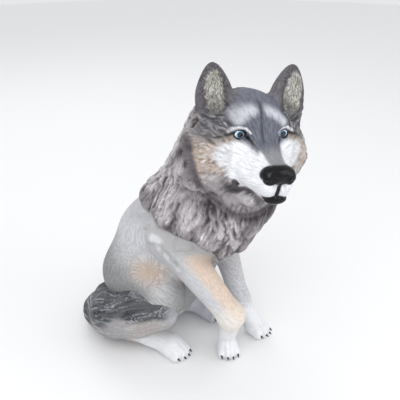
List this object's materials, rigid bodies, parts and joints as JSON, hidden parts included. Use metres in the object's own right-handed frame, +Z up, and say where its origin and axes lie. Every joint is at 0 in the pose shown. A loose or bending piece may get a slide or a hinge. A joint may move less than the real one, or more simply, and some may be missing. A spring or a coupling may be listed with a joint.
{
  "type": "wolf figurine",
  "caption": "Seated wolf garden figurine cast in one piece, head turned to its right, ruff of carved fur locks, tail laid round its side; rests on its flat underside.",
  "frame": {"origin": "centre of the bounding box on the ground plane, under the seated body", "axes": "+Z up; the body faces -Y, its left side is +X, and the head is turned 30 degrees towards its right, -X"},
  "size_m": [0.34, 0.5316, 0.6649],
  "materials": {
    "painted_resin": "hand-painted cast resin in greys, white and tan, satin, with gloss nose and eyes"
  },
  "bodies": {
    "root": {"wolf": "painted_resin"}
  },
  "joints": []
}
